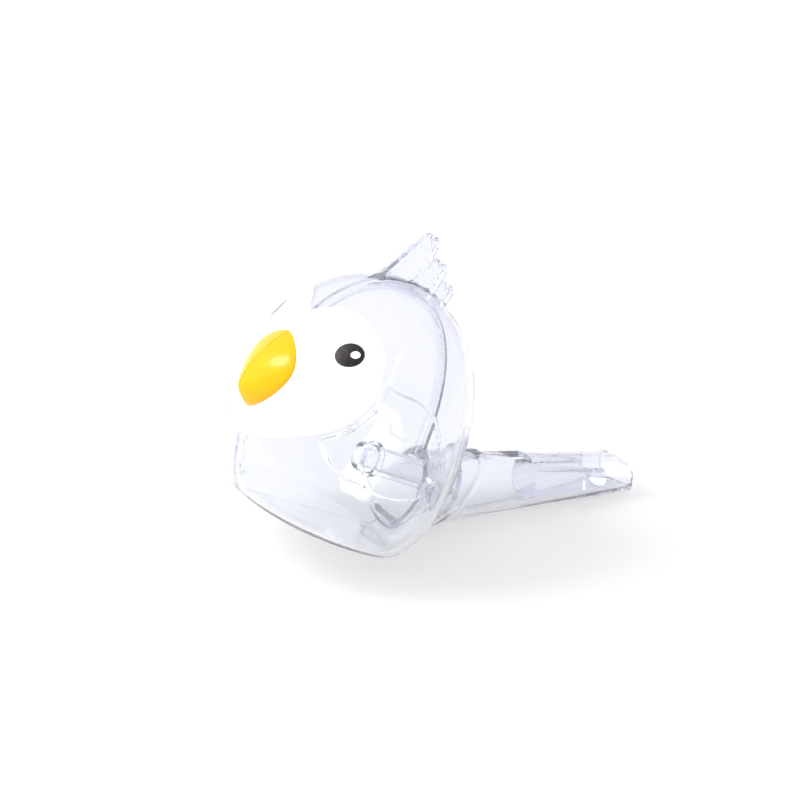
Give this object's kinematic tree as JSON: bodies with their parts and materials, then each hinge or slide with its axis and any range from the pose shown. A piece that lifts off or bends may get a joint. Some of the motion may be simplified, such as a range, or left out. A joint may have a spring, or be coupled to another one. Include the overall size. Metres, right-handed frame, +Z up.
{
  "type": "bird water whistle",
  "caption": "Clear plastic bird-shaped water whistle with a painted face, feathered crest and a tail mouthpiece, lying tipped back on its base rim and tail.",
  "frame": {"origin": "middle of the footprint, on the surface that the whistle lies on, in its resting pose", "axes": "+X towards the beak, +Y the bird's left side, +Z up; the bird is tipped back about Y"},
  "size_m": [0.1008, 0.0654, 0.0703],
  "materials": {
    "clear_shell": "clear moulded plastic, polished; which plastic is not known",
    "clear_insert": "clear moulded plastic; which plastic is not known",
    "white_paint": "opaque white paint, soft gloss",
    "yellow_paint": "bright yellow paint, gloss",
    "black_paint": "black paint, slightly uneven print",
    "glint_paint": "white paint dot"
  },
  "bodies": {
    "root": {"body_shell_left": "clear_shell", "face_patch_left": "white_paint", "beak_left": "yellow_paint", "eye_left": "black_paint", "eye_glint_left": "glint_paint", "body_shell_right": "clear_shell", "face_patch_right": "white_paint", "beak_right": "yellow_paint", "eye_right": "black_paint", "eye_glint_right": "glint_paint", "windway_plug": "clear_insert", "warble_tube": "clear_insert"}
  },
  "joints": []
}
